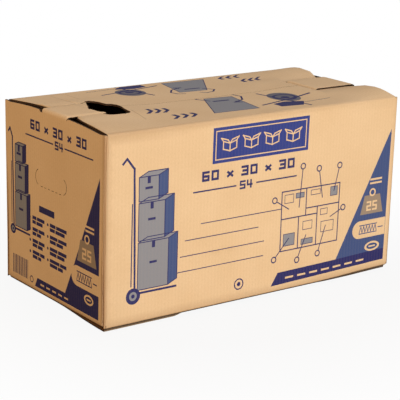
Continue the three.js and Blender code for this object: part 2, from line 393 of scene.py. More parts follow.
def fold_lines():
    """Lines of the blank along which the mesh must bend."""
    lines = []
    for name, (start, stop) in PANELS.items():
        a, b = start + FLAP_SLOT, stop - FLAP_SLOT
        long_panel = name in ("front", "back")
        foot = (0.0 if long_panel else END_FLAP_LEVEL) + FOLD
        for i in range(CURVE_STEPS + 1):
            step = ARC * i / CURVE_STEPS
            lines.append(((a, foot - step), (b, foot - step)))
            if long_panel:
                lines.append(((a, LID_TOP - FOLD + step), (b, LID_TOP - FOLD + step)))
        if name == "front":
            for reach in FOOT_ROWS + SAG_ROWS:
                lines.append(((a, under_at(reach)), (b, under_at(reach))))
        turn = LENGTH - BOARD if name == "back" else stop - start
        for i in range(-CURVE_STEPS // 2, CURVE_STEPS // 2 + 1):
            u = start + turn + CORNER * i / (CURVE_STEPS / 2)
            lines.append(((u, EAR_FOOT + 0.01), (u, EAR_TOP - 0.01)))
        if long_panel:
            corner, way = (start, 1) if name == "front" else (stop, -1)
            for off in (NECK_WIDTH / 2, NECK_WIDTH / 2 + PRESSED_WIDTH["left"]):
                v = lid_at(HALF_WIDTH - off)
                lines.append(((corner + way * (FLAP_SETBACK + 0.5), v), (corner + way * PRESSED_LINE, v)))
    return lines


# Drawing on the blank, in millimetres from a panel's upper left corner, x right and y down.
def rect(x0, y0, x1, y1):
    return [(x0, y0), (x1, y0), (x1, y1), (x0, y1)]


def stroke(points, width):
    """A line of even width as one box per stretch."""
    half = width / 2
    boxes = []
    for (x0, y0), (x1, y1) in zip(points, points[1:]):
        way = Vector((x1 - x0, y1 - y0)).normalized() * half
        side = Vector((-way.y, way.x))
        a, b = Vector((x0, y0)) - way, Vector((x1, y1)) + way
        boxes.append([tuple(a - side), tuple(b - side), tuple(b + side), tuple(a + side)])
    return boxes


def circle(cx, cy, radius, steps=20):
    return arc_points(cx, cy, radius, 0, 360 - 360 / steps, steps - 1)


def ring_line(cx, cy, radius, width, steps=20):
    outer = arc_points(cx, cy, radius, 0, 360, steps)
    inner = arc_points(cx, cy, radius - width, 0, 360, steps)
    return [[outer[i], outer[i + 1], inner[i + 1], inner[i]] for i in range(steps)]


# Plain digits from strokes on a grid 2 wide and 4 high.
DIGITS = {
    "0": [[(0, 0), (2, 0), (2, 4), (0, 4), (0, 0)]],
    "2": [[(0, 0), (2, 0), (2, 2), (0, 2), (0, 4), (2, 4)]],
    "3": [[(0, 0), (2, 0), (2, 4), (0, 4)], [(0.4, 2), (2, 2)]],
    "4": [[(0, 0), (0, 2.4), (2, 2.4)], [(1.6, 0), (1.6, 4)]],
    "5": [[(2, 0), (0, 0), (0, 2), (2, 2), (2, 4), (0, 4)]],
    "6": [[(2, 0), (0, 0), (0, 4), (2, 4), (2, 2), (0, 2)]],
    "x": [[(0.2, 1.6), (1.8, 3.6)], [(1.8, 1.6), (0.2, 3.6)]],
}


def digits(text, x, y, height, width, pitch, weight):
    """Digits set pitch apart, whose strokes stay inside the given height and width."""
    shapes = []
    step_x, step_y = (width - weight) / 2, (height - weight) / 4
    for i, letter in enumerate(text):
        for line in DIGITS.get(letter, []):
            left, top = x + i * pitch + weight / 2, y + weight / 2
            shapes += stroke([(left + px * step_x, top + py * step_y) for px, py in line], weight)
    return shapes


def size_row(x, y, height, width):
    """The inside sizes, 60 x 30 x 30, spread over a width."""
    pitch = width / 10.6
    shapes = []
    for word in ("60", "x", "30", "x", "30"):
        shapes += digits(word, x, y, height, pitch * 0.8, pitch, height * 0.24)
        x += pitch * (len(word) + 0.62)
    return shapes


def weight_mark(x, y, width, height):
    """A plain weight with its ring, and the load in it in the board's own colour."""
    ring_radius = height * 0.16
    top = y + 1.6 * ring_radius
    body = [(x + width * 0.16, top), (x + width * 0.84, top), (x + width, y + height), (x, y + height)]
    number = digits(
        "25", x + width * 0.26, top + height * 0.24,
        height=height * 0.38, width=width * 0.21, pitch=width * 0.26, weight=height * 0.07,
    )
    return [body], ring_line(x + width / 2, y + ring_radius, ring_radius, ring_radius * 0.4), number


def flute_mark(x0, y0, x1, y1):
    """A kraft pill with a rounded left end, and in it a zigzag between two liners."""
    radius = (y1 - y0) / 2
    pill = arc_points(x0 + radius, y0 + radius, radius, 90, 270, 10) + [(x1, y0), (x1, y1)]
    left, right = x0 + radius, x1 - (x1 - x0) * 0.26
    top, base = y0 + radius * 0.65, y1 - radius * 0.65
    teeth = 6
    zigzag = []
    for i in range(2 * teeth + 1):
        zigzag.append((left + (right - left) * i / (2 * teeth), top if i % 2 else base))
    lines = []
    for y in (top - 2, base + 2):
        lines += stroke([(left, y), (right, y)], 1.8)
    tick_x = right + (x1 - right) * 0.45
    lines += stroke(zigzag, 1.5) + stroke([(tick_x - 5, top + 6), (tick_x + 5, top + 6)], 2.0)
    return [pill], lines


def case(x, y, width, height, depth):
    """A taped case seen from its front left: outlines, pale faces and a dark side face."""
    lift = depth * 0.45
    front = rect(x, y, x + width, y + height)
    top = [(x, y), (x + width, y), (x + width + depth, y - lift), (x + depth, y - lift)]
    side = [
        (x + width, y), (x + width, y + height),
        (x + width + depth, y + height - lift), (x + width + depth, y - lift),
    ]
    lines = []
    for face in (front, top, side):
        lines += stroke(face + face[:1], 1.5)
    middle = x + width / 2
    tape = rect(middle - 3, y, middle + 3, y + 11)
    grip = rect(middle - 7, y + height * 0.42, middle + 7, y + height * 0.42 + 4)
    return [front, top], [side], lines + [tape, grip]


def hand_truck(x, y, width, height):
    """A generic sack truck with three cases: grey and filled shapes, lines, hub and pin."""
    rail, foot, wheel = x + width * 0.24, y + height * 0.9, width * 0.13
    grey, fill, lines = [], [], []
    base = foot - 4
    for wide, tall in ((0.56, 0.33), (0.48, 0.26), (0.36, 0.17)):
        parts = case(rail + 5, base - height * tall + 2, width * wide, height * tall - 3, width * 0.17)
        for store, shapes in zip((grey, fill, lines), parts):
            store += shapes
        base -= height * tall
    rails = [(x, y + height * 0.03), (x + width * 0.07, y), (rail - 4, y + height * 0.07), (rail, foot)]
    lines += stroke(rails, 3.6) + stroke([(rail, foot), (x + width, foot)], 3.6)
    lines += stroke([(rail - 7, y + height * 0.3), (rail - 7, foot - wheel)], 2.0)
    hub = (rail - 3, foot + wheel * 0.25)
    lines += [circle(*hub, wheel)]
    return grey, fill, lines, [circle(*hub, wheel * 0.55)], [circle(*hub, wheel * 0.25)]


def room_plan(x, y, width, height):
    """A generic plan of rooms in thin lines, with fittings, and rings on leader lines round it."""
    def at(u, v):
        return (x + width * u, y + height * v)

    def box(u0, v0, u1, v1):
        return [at(u0, v0), at(u1, v0), at(u1, v1), at(u0, v1)]

    lines, grey = [], []
    rooms = [
        (0.0, 0.0, 0.42, 0.46), (0.42, 0.0, 1.0, 0.34), (0.0, 0.46, 0.3, 1.0),
        (0.3, 0.46, 0.62, 1.0), (0.62, 0.34, 1.0, 1.0),
    ]
    for room in rooms:
        loop = box(*room)
        lines += stroke(loop + loop[:1], 2.0)
    fittings = [
        (0.05, 0.06, 0.2, 0.2), (0.24, 0.06, 0.38, 0.14), (0.5, 0.05, 0.66, 0.13), (0.84, 0.05, 0.96, 0.2),
        (0.7, 0.62, 0.92, 0.8), (0.05, 0.72, 0.24, 0.92), (0.38, 0.56, 0.54, 0.7), (0.36, 0.86, 0.56, 0.95),
        (0.68, 0.4, 0.8, 0.5),
    ]
    for k, fitting in enumerate(fittings):
        loop = box(*fitting)
        if k % 2:
            grey.append(loop)
        lines += stroke(loop + loop[:1], 1.1)
    calls = [
        ((0.3, 0.3), (0.34, -0.38)), ((0.7, 0.2), (0.62, -0.3)), ((0.9, 0.12), (0.98, -0.3)),
        ((0.12, 0.3), (-0.12, 0.12)), ((0.14, 0.8), (-0.1, 1.12)), ((0.44, 0.8), (0.3, 1.2)),
        ((0.78, 0.7), (0.66, 1.16)), ((0.86, 0.56), (1.08, 0.44)),
    ]
    radius = 6.0
    for start, end in calls:
        a, b = Vector(at(*start)), Vector(at(*end))
        lines += stroke([tuple(a), tuple(b - (b - a).normalized() * radius)], 1.8)
        lines += ring_line(b.x, b.y, radius, 2.1, 14)
    return lines, grey


def carton_icon(cx, cy, size):
    """A small open carton in outline, for a knocked-out sign."""
    height, depth = size * 0.62, size * 0.3
    middle = (cx, cy + depth * 0.5)
    walls, flaps = [], []
    for half in (-size, size):
        hinge = (cx + half / 2, cy)
        walls.append([hinge, middle, (cx, cy + height), (cx + half / 2, cy + height - depth * 0.5)])
        tips = [(cx + half * 0.16, cy - depth * 0.2), (cx + half * 0.66, cy - depth * 0.7)]
        flaps.append([hinge, middle, *tips])
    lines = []
    for loop in walls + flaps:
        lines += stroke(loop + loop[:1], size * 0.075)
    return lines


def paint(items, ink, shapes):
    items.extend((ink, shape) for shape in shapes)


def paint_truck(art, line_ink, fill_ink, *box):
    grey, fill, lines, hub, pin = hand_truck(*box)
    for ink, shapes in (("grey", grey), (fill_ink, fill), (line_ink, lines), ("grey", hub), (line_ink, pin)):
        paint(art, ink, shapes)


def oval(cx, cy, wide, tall):
    turns = [2 * math.pi * i / 24 for i in range(24)]
    return [(cx + wide / 2 * math.cos(t), cy + tall / 2 * math.sin(t)) for t in turns]


def corner_sign(art, ink, sizes):
    """The dark corner field with a weight, two bars, a flute mark and an oval knocked out of it."""
    field, band, load, pill_box, bars, oval_box = sizes
    paint(art, ink, [field])
    paint(art, "blue_line" if ink == "blue" else ink, [band])
    pill, lines = flute_mark(*pill_box)
    paint(art, "kraft", pill)
    paint(art, ink, lines)
    body, loop, number = weight_mark(*load)
    paint(art, "hatch", body)
    paint(art, "kraft", loop + number + bars + [oval(*oval_box)])
    cx, cy, wide, tall = oval_box
    paint(art, ink, [oval(cx, cy, wide * 0.72, tall * 0.62)])
    paint(art, "kraft", [rect(cx - wide * 0.22, cy - 1.4, cx + wide * 0.22, cy + 1.4)])


def long_wall_art():
    """Prints on a long wall: sign, sizes, address lines, truck, room plan, ring mark and corner sign."""
    art = []
    paint(art, "blue_full", [rect(204, 12, 404, 71)])
    paint(art, "kraft", stroke([(210, 18), (398, 18), (398, 65), (210, 65), (210, 18)], 1.8))
    for k in range(4):
        paint(art, "kraft", carton_icon(238 + 44 * k, 36, 27))
    paint(art, "blue_line", size_row(184, 81, 17, 198))
    paint(art, "blue_line", [rect(167, 112, 254, 114.4), rect(295, 112, 382, 114.4)])
    paint(art, "blue_line", digits("54", 261, 106, 14.5, 12, 14.5, 3.2))
    for y, x0, x1 in [(167, 185, 351), (191, 154, 303), (217, 145, 316), (242.5, 138, 315)]:
        paint(art, "blue_line", stroke([(x0, y), (x1, y)], 1.5))
    paint_truck(art, "blue_line", "blue", 33, 42, 104, 246)
    lines, grey = room_plan(352, 138, 128, 104)
    paint(art, "grey", grey)
    paint(art, "blue_line", lines)
    paint(art, "blue_line", ring_line(266, 284, 10, 2.2) + [circle(266, 284, 3.8)])
    corner_sign(art, "blue", (
        [(595, 56), (593, 290), (476, 285)],
        [(349, 279), (593, 277), (593, 298.5), (335, 301)],
        (532, 159, 53, 46),
        (516, 216, 592.9, 249),
        [rect(551, 141, 579, 144.4), rect(551, 148, 579, 151.4)],
        (564.6, 268, 35, 19),
    ))
    paint(art, "kraft", [rect(366 + 27 * k, 289, 384 + 27 * k, 292.4) for k in range(7)])
    return art


def end_wall_art():
    """Prints on an end wall: sizes, truck, bars for lists of text, stripes, ring mark and corner sign."""
    art = []
    paint(art, "navy", size_row(80, 18, 16.5, 178))
    paint(art, "navy", [rect(64, 45, 152, 47.4), rect(187, 45, 272, 47.4)])
    paint(art, "navy", digits("54", 157, 39.5, 14, 11.5, 14, 3.2))
    paint_truck(art, "navy", "navy", 8, 46, 68, 190)
    paint(art, "navy", [rect(108, 158, 156, 169)])
    tall, gap = 6.0, 0.9
    for row in range(4):
        y = 184 + 20 * row
        for bullet, x0, x1 in ((78, 86, 125), (135.5, 142, 194)):
            paint(art, "navy", [circle(bullet, y, 2.6, 10)])
            short = 6 + 5 * (row % 2)
            for top, stop in ((y - 4, x1), (y + 3.6, x1 - short)):
                split = x0 + (stop - x0) * (0.36 + 0.12 * ((row * 2 + short) % 3))
                paint(art, "navy", [rect(x0, top, split - gap, top + tall)])
                paint(art, "navy", [rect(split + gap, top, stop, top + tall)])
    x = 21.0
    for width in (2.4, 1.2, 3.2, 1.6, 1.2, 2.6, 1.4, 3.0, 1.2, 2.0, 1.4, 2.8, 1.2):
        paint(art, "navy", [rect(x, 263, x + width, 296)])
        x += width + 2.0
    paint(art, "navy", ring_line(83, 292, 6, 1.8, 14))
    corner_sign(art, "navy", (
        [(292, 70), (291, 290), (188, 290)],
        [(102, 285), (291, 285), (291, 301), (94, 301)],
        (226, 170, 58, 49),
        (209, 228, 291.4, 262),
        [rect(246, 155, 276, 158.4), rect(250, 162, 276, 165.4)],
        (262, 276, 28, 17),
    ))
    paint(art, "kraft", [rect(112 + 19 * k, 292, 124 + 19 * k, 295) for k in range(5)])
    return art


def chevrons(left, right, low, high, lean):
    """Three bold arrow heads between two distances across the flap."""
    shapes = []
    pitch = (right - left) / 3
    middle = (low + high) / 2
    for k in range(3):
        x = left + pitch * k
        for near, far in ((low, middle), (high, middle)):
            shift = lean * (near - low) / (high - low)
            tip = x + pitch * 0.5 + lean / 2
            shapes.append([(x + shift, near), (x + shift + 8, near), (tip + 8, far), (tip, far)])
    return shapes


def long_flap_art():
    """Prints on a long top flap, x from its left and y from the wall's face towards the seam."""
    art = []
    paint(art, "navy", chevrons(132, 180, 85, 116, 18) + chevrons(154, 206, 41, 68, 14))
    tray = [(240, 46), (330, 43), (347, 142), (292, 147)]
    paint(art, "grey", [tray])
    paint(art, "navy", stroke(tray + tray[:1], 1.6) + stroke([(296, 122), (322, 120)], 6))
    paint(art, "navy", stroke([(290, 128), (278, 150), (290, 166), (306, 170), (314, 160)], 3.4))
    paint(art, "navy", stroke([(322, 100), (348, 112), (362, 134), (358, 152), (346, 158)], 3.4))
    paint(art, "navy", stroke([(322, 100), (334, 96), (330, 106)], 3.4))
    paint(art, "grey_dark", [oval(424, 94, 54, 68)])
    paint(art, "navy", ring_line(424, 92, 22, 5, 16) + [circle(424, 90, 8, 14)])
    paint(art, "blue_line", [[(371, 34), (414, 28), (434, 52), (400, 64), (371, 57)]])
    paint(art, "navy", stroke([(400, 138), (424, 22)], 4.4) + stroke([(350, 58), (480, 92)], 4.4))
    paint(art, "navy", stroke([(414, 43), (490, 50)], 1.8))
    return art


# Faint creases pressed into the long flaps near the left end, drawn as lines of painted shade and placed as
# the flaps' prints are.
CREASE_SHADE_LINES = {
    "front": [[(124, 118), (118, 88), (113, 58)]],
    "back": [[(532, 18), (535, 60), (538, 108)], [(503, 25), (505, 69)]],
}
# Where a long flap's print lies: its shift to the left, its scale across the flap, and its inset.
FLAP_PRINT = {"front": (0, 1, 0), "back": (30, 0.82, 22)}


def on_blank():
    """Every print as (ink, loop of (u, v))."""
    art = []
    for name, (start, _) in PANELS.items():
        items = long_wall_art() if name in FLAP_PRINT else end_wall_art()
        art += [(ink, [(start + x, LID_TOP - y) for x, y in loop]) for ink, loop in items]
        if name in FLAP_PRINT:
            shift, scale, inset = FLAP_PRINT[name]
            for ink, loop in long_flap_art():
                art.append((ink, [(start + (x - shift), lid_at(max(5, y * scale - inset))) for x, y in loop]))
            for line in CREASE_SHADE_LINES[name]:
                for loop in stroke(line, 1.1):
                    art.append(("crease_shade", [(start + x, lid_at(y)) for x, y in loop]))
    return art


def hand_hole_slits(start):
    """The perforations of the hand hole in an end wall, as loops of (u, v)."""
    radius = HAND_HOLE["height"] / 2
    centre = start + HALF_WIDTH - HAND_HOLE["shift"]
    level = LID_TOP - HAND_HOLE["depth"]
    half = HAND_HOLE["width"] / 2 - radius
    slit, turn = HAND_HOLE["slit"], HAND_HOLE["turn"]
    loops = []
    for side, middle in ((1, 0), (-1, 180)):
        outer = arc_points(centre + side * half, level, radius, middle - turn, middle + turn, 14)
        inner = arc_points(centre + side * half, level, radius - slit, middle + turn, middle - turn, 14)
        loops.append(outer + inner)
    pitch = 2 * half / HAND_HOLE["dashes"]
    for i in range(HAND_HOLE["dashes"]):
        x = centre - half + (i + 0.25) * pitch
        loops.append(rect(x, level - radius, x + pitch / 2, level - radius + slit))
    return loops


INKS = [
    "kraft", "inside", "edge", "blue_full", "blue", "blue_line", "navy",
    "grey", "grey_dark", "hatch", "crease_shade",
]


def cut_sheet(outline, holes, art, points, lines):
    """Flat points, and the triangles of the cut and printed sheet, each with its ink. Later art wins."""
    verts, edges, faces = [], [], []
    for loop in [outline, *holes, *(shape for _, shape in art)]:
        area = sum(a[0] * b[1] - b[0] * a[1] for a, b in zip(loop, loop[1:] + loop[:1]))
        faces.append(list(range(len(verts), len(verts) + len(loop))))
        verts.extend(Vector(p) for p in (loop if area > 0 else loop[::-1]))
    for a, b in lines:
        edges.append((len(verts), len(verts) + 1))
        verts.extend((Vector(a), Vector(b)))
    verts.extend(Vector(p) for p in points)
    flat, _, tris, _, _, sources = delaunay_2d_cdt(verts, edges, faces, 1, 1e-4)

    first_art = 1 + len(holes)
    kept = []
    for tri, source in zip(tris, sources):
        if 0 not in source or any(1 <= k < first_art for k in source):
            continue
        prints = [k for k in source if k >= first_art]
        ink = art[max(prints) - first_art][0] if prints else "kraft"
        a, b, c = (flat[k] for k in tri)
        if (b - a).cross(c - a) < 0:
            tri = tri[::-1]
        kept.append((tri, ink))
    return flat, kept


def add_values(mesh, name, kind, key, values):
    mesh.attributes.new(name, kind, "POINT").data.foreach_set(key, values)


def sheet_mesh(name, outline, holes, art, points, lines, mapping):
    """A board cut to an outline, printed with art and folded by a mapping, as one closed mesh."""
    flat, kept = cut_sheet(outline, holes, art, points, lines)
    used = sorted({k for tri, _ in kept for k in tri})
    index = {k: i for i, k in enumerate(used)}
    count = len(used)
    spots = [(flat[k].x, flat[k].y) for k in used]
    co = [mapping(u, v, depth) * MM for depth in (0.0, BOARD) for u, v in spots]
    polys, inks = [], []
    # The directed edges whose other side has no triangle, in a dict because it keeps their order.
    sides = {}
    for tri, ink in kept:
        t = [index[k] for k in tri]
        polys += [t, [t[2] + count, t[1] + count, t[0] + count]]
        inks += [ink, "inside"]
        for a, b in zip(t, t[1:] + t[:1]):
            if (b, a) in sides:
                del sides[(b, a)]
            else:
                sides[(a, b)] = True
    for a, b in sides:
        polys.append([b, a, a + count, b + count])
        inks.append("edge")
    mesh = bpy.data.meshes.new(name)
    mesh.from_pydata(co, [], polys)
    mesh.polygons.foreach_set("material_index", [INKS.index(i) for i in inks])
    sheet = [x for depth in (0.0, 1.0) for u, v in spots for x in (u * MM, v * MM, depth)]
    add_values(mesh, "sheet", "FLOAT_VECTOR", "vector", sheet)
    add_values(mesh, "crease", "FLOAT", "value", [crease_at(u, v) for u, v in spots] * 2)
    add_values(mesh, "gap", "FLOAT", "value", [gap_at(u, v) for u, v in spots] * 2)
    mesh.update()
    obj = bpy.data.objects.new(name, mesh)
    bpy.context.scene.collection.objects.link(obj)
    for ink in INKS:
        mesh.materials.append(MATERIALS[ink])
    return obj


# Wear and painted shade of the walls' corners, the most at the front left corner.
CORNER_WEAR_AND_SHADE = {"left": 1.0, "front": 0.3, "right": 0.5, "back": 0.6}


def crease_at(u, v):
    """Wear of the sheet by its creases, together with painted shade in them: up to 1 on one, 0 some
    millimetres off it.
    """
    wear_and_shade = [CORNER_WEAR_AND_SHADE[name] * fall(abs(u - stop), 0, 11) for name, (_, stop) in PANELS.items()]
    name, _ = panel_at(u)
    level = END_FLAP_LEVEL if name in ("left", "right") else 0.0
    # Painted shade along the walls' feet, with their wear.
    wear_and_shade.append(0.8 * fall(abs(v - level - 1), 0, 6))
    if name in ("front", "back"):
        wear_and_shade.append(0.25 * fall(abs(v - LID_TOP + 1), 0, 4))
    return max(wear_and_shade)


def gap_at(u, v):
    """Shade where the sheet turns under a long wall, and in the gap at the front right corner's foot."""
    name, p = panel_at(u)
    corner = PANELS["front"][1]
    tick = fall(abs(u - corner), 1.4, 1.2) * fall(v, 7, 3)
    if name not in ("front", "back"):
        return tick
    strip = rise(-v, 3.5, 0.5) * fall(p, 148, 12)
    return max(tick, rise(-v, -1.9, 1.2) * (1 - 0.36 * strip))


# Materials. The attribute sheet holds the blank's u and v in metres and the depth into the board, 0 to 1.
FLUTE_PITCH = 0.0066
FLUTE_PHASE = 0.5


class Nodes:
    """A short way to write a node tree."""

    def __init__(self, name):
        self.material = bpy.data.materials.new(name)
        self.material.use_nodes = True
        self.tree = self.material.node_tree
        self.shader = self.tree.nodes["Principled BSDF"]

    def add(self, kind, values=(), **settings):
        node = self.tree.nodes.new(kind)
        for key, value in settings.items():
            setattr(node, key, value)
        for key, value in dict(values).items():
            if isinstance(value, bpy.types.NodeSocket):
                self.tree.links.new(value, node.inputs[key])
            else:
                node.inputs[key].default_value = value
        return node

    def math(self, operation, a, b=0.0):
        return self.add("ShaderNodeMath", {0: a, 1: b}, operation=operation).outputs[0]

    def scaled(self, value, factor, offset):
        values = {0: value, 1: factor, 2: offset}
        return self.add("ShaderNodeMath", values, operation="MULTIPLY_ADD").outputs[0]

    def mix(self, factor, a, b):
        return self.add("ShaderNodeMix", {0: factor, 6: a, 7: b}, data_type="RGBA").outputs[2]

    def ramp(self, value, low, high):
        return self.add("ShaderNodeMapRange", {0: value, 1: low, 2: high}).outputs[0]

    def noise(self, vector, scale, detail=3.0, stretch=(1, 1, 1)):
        mapped = self.add("ShaderNodeMapping", {0: vector, 3: stretch}).outputs[0]
        return self.add("ShaderNodeTexNoise", {"Vector": mapped, "Scale": scale, "Detail": detail}).outputs[0]

    def sheet(self):
        return self.add("ShaderNodeAttribute", attribute_name="sheet").outputs["Vector"]

    def mark(self, name):
        return self.add("ShaderNodeAttribute", attribute_name=name).outputs["Fac"]

    def link(self, output, socket):
        self.tree.links.new(output, self.shader.inputs[socket])


def rgb(r, g, b):
    """A display colour of 0 to 255 as linear."""
    def lin(c):
        c /= 255
        return c / 12.92 if c <= 0.04045 else ((c + 0.055) / 1.055) ** 2.4
    return (lin(r), lin(g), lin(b), 1.0)


KRAFT = rgb(230, 193, 148)
KRAFT_DARK = rgb(198, 156, 110)
KRAFT_PALE = rgb(240, 205, 162)
# The colour of worn creases, with the painted shade in them.
KRAFT_WEAR_AND_SHADE = rgb(150, 104, 62)
# The inside face, a darker kraft as painted shade inside the carton.
KRAFT_INSIDE_SHADED = rgb(120, 84, 50)
EDGE = rgb(98, 66, 40)
# Painted shade: in the open flutes of cut edges, under the walls' foot, and at the front right corner.
SHADE_DARK = rgb(42, 26, 14)


def washboard(n, sheet):
    """Height of the liner over the flutes, 0 to 1."""
    u = n.add("ShaderNodeSeparateXYZ", {0: sheet}).outputs[0]
    wobble = n.noise(sheet, 30, 2.0)
    turn = n.scaled(u, 2 * math.pi / FLUTE_PITCH, FLUTE_PHASE)
    turn = n.math("ADD", turn, n.math("MULTIPLY", wobble, 0.8))
    return n.scaled(n.math("SINE", turn), 0.5, 0.5)


def kraft_colour(n, sheet):
    blotch = n.ramp(n.noise(sheet, 14, 4.0), 0.3, 0.7)
    fibre = n.ramp(n.noise(sheet, 900, 3.0, (1.0, 0.28, 1.0)), 0.35, 0.75)
    speck = n.ramp(n.noise(sheet, 420, 2.0), 0.62, 0.74)
    colour = KRAFT
    for where, share, tint in (
        (blotch, 0.55, KRAFT_PALE), (fibre, 0.28, KRAFT_DARK), (speck, 0.25, KRAFT_DARK),
        # The crease mark is wear with painted shade. The gap mark is painted shade under the walls and at the
        # front right corner's foot.
        (n.mark("crease"), 0.62, KRAFT_WEAR_AND_SHADE), (n.mark("gap"), 0.92, SHADE_DARK),
    ):
        colour = n.mix(n.math("MULTIPLY", where, share), colour, tint)
    return colour


def board_bump(n, sheet, ridge=0.5):
    height = n.math("MULTIPLY", washboard(n, sheet), ridge * 0.5)
    height = n.math("ADD", height, n.math("MULTIPLY", n.noise(sheet, 700, 3.0), 0.35))
    height = n.math("ADD", height, n.math("MULTIPLY", n.noise(sheet, 60, 3.0), 0.5))
    bump = n.add("ShaderNodeBump", {"Height": height, "Strength": 0.55, "Distance": 0.00022})
    n.link(bump.outputs[0], "Normal")


def kraft_material():
    n = Nodes("kraft_liner")
    sheet = n.sheet()
    colour = kraft_colour(n, sheet)
    shade = n.math("MULTIPLY", washboard(n, sheet), 0.08)
    n.link(n.mix(shade, colour, KRAFT_DARK), "Base Color")
    n.shader.inputs["Roughness"].default_value = 0.82
    board_bump(n, sheet)
    return n.material


def ink_material(name, colour, cover):
    """Flexo ink on kraft: thinner over the flutes' valleys, with fine pinholes."""
    n = Nodes(name)
    sheet = n.sheet()
    board = kraft_colour(n, sheet)
    stripe = n.math("MULTIPLY", washboard(n, sheet), 0.02)
    hole = n.math("MULTIPLY", n.ramp(n.noise(sheet, 800, 2.0), 0.6, 0.74), 0.08)
    amount = n.math("SUBTRACT", cover, n.math("ADD", stripe, hole))
    n.link(n.mix(amount, board, colour), "Base Color")
    n.shader.inputs["Roughness"].default_value = 0.62
    board_bump(n, sheet)
    return n.material


# The inside face is painted darker as shade, so that the carton's inside looks dark through its gaps and
# slits.
def shaded_inside_material():
    n = Nodes("kraft_inside_shaded")
    sheet = n.sheet()
    fibre = n.ramp(n.noise(sheet, 900, 3.0, (1.0, 0.28, 1.0)), 0.35, 0.75)
    n.link(n.mix(n.math("MULTIPLY", fibre, 0.3), KRAFT_INSIDE_SHADED, KRAFT_WEAR_AND_SHADE), "Base Color")
    n.shader.inputs["Roughness"].default_value = 0.9
    board_bump(n, sheet, 0.8)
    return n.material


def edge_material():
    """A cut edge of the board: two liners and the wave of the flutes between them, with painted shade in the
    open flutes.
    """
    n = Nodes("cut_edge")
    sheet = n.sheet()
    split = n.add("ShaderNodeSeparateXYZ", {0: sheet})
    u, depth = split.outputs[0], split.outputs[2]
    wave = n.math("SINE", n.math("MULTIPLY", u, 2 * math.pi / FLUTE_PITCH))
    centre = n.math("ADD", n.math("MULTIPLY", wave, 0.36), 0.5)
    off_wave = n.math("ABSOLUTE", n.math("SUBTRACT", depth, centre))
    off_middle = n.math("ABSOLUTE", n.math("SUBTRACT", depth, 0.5))
    hollow_shade = n.math("MULTIPLY", n.ramp(off_wave, 0.10, 0.18), n.ramp(off_middle, 0.40, 0.34))
    n.link(n.mix(hollow_shade, EDGE, SHADE_DARK), "Base Color")
    n.shader.inputs["Roughness"].default_value = 0.92
    return n.material


MATERIALS = {
    "kraft": kraft_material(),
    "inside": shaded_inside_material(),
    "edge": edge_material(),
    "blue_full": ink_material("ink_blue_full", rgb(27, 48, 128), 1.0),
    "blue": ink_material("ink_blue", rgb(46, 70, 122), 0.99),
    "blue_line": ink_material("ink_blue_line", rgb(18, 20, 92), 1.0),
    "navy": ink_material("ink_navy", rgb(10, 9, 86), 1.0),
    "grey": ink_material("ink_grey", rgb(112, 122, 138), 0.86),
    "grey_dark": ink_material("ink_grey_dark", rgb(70, 78, 100), 0.9),
    "hatch": ink_material("ink_hatch", rgb(128, 112, 100), 0.85),
    # Painted shade of the faint creases in the long flaps.
    "crease_shade": ink_material("crease_shade", rgb(140, 106, 72), 0.6),
}


def make_carton():
    holes = [loop for name in ("left", "right") for loop in hand_hole_slits(PANELS[name][0])]
    obj = sheet_mesh("carton_sheet", blank_outline(), holes, on_blank(), grid_points(), fold_lines(), place)
    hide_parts("carton")
    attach(obj, "carton")
    return obj


# Lock flaps. s runs along the flap from the root of its neck, t across it.
ROOT_ARC = math.pi / 2 * ROOT_FOLD
CRUSHED = {"left": 1.6, "right": 0.5}
CRUSHED_WIDTH = 5.0
HEAD_CUT = 10.0
TUCK = 8.0
TUCK_SLOPE = 3.0
# The left flap's torn back edge: its notch as (across, past the shoulder), and the nick at the neck's root.
TORN_NOTCH = [(-52, 24), (-48, 22), (4, 22), (8, -10.5), (-40, 13)]
NICK = {"left": 6.0, "right": 0.0}
NICK_LENGTH = 16.0
ROOT_STEPS = 12
# Rows of points round the head's bend: how far before it they start, how far after it they end, how many.
BEND_ROWS = (11, 14, 36)
EDGE_ROWS = (1.5, 3.0, 5.0)
# How much later than the neck's length the head bends, at even steps from the back edge to the front one.
LIP = {"left": (14.0, 4.0, -9.0, -7.0, 1.5), "right": (4.0, 3.0, 3.0, 3.0, 4.0)}


def lip_at(end, t):
    """LIP between its steps, at t across the flap."""
    across = (-t if end == "left" else t) / (NECK_WIDTH / 2)
    spot = min(3.999, max(0.0, 2 - 2 * across))
    k = int(spot)
    a, b = LIP[end][k], LIP[end][k + 1]
    return a + (b - a) * smooth(spot - k)


def flap_path(end, s, t):
    """Distance from the end face, height and slope of the flap's outer face at s and t."""
    flat = NECK_LENGTH[end] + lip_at(end, t) - ROOT_FOLD
    top, radius, bend = NECK_TOP[end], HEAD_FOLD[end], HEAD_BEND[end]
    if s < ROOT_ARC:
        turn = s / ROOT_FOLD
        return ROOT_FOLD * (1 - math.cos(turn)), top - ROOT_FOLD * (1 - math.sin(turn)), math.pi / 2 - turn
    if s < ROOT_ARC + flat:
        return ROOT_FOLD + s - ROOT_ARC, top, 0.0
    past = s - ROOT_ARC - flat
    turn = min(bend, past / radius)
    rest = max(0.0, past - bend * radius)
    d = ROOT_FOLD + flat + radius * math.sin(turn) + rest * math.cos(bend)
    z = top - radius * (1 - math.cos(turn)) - rest * math.sin(bend)
    return d, z, -turn


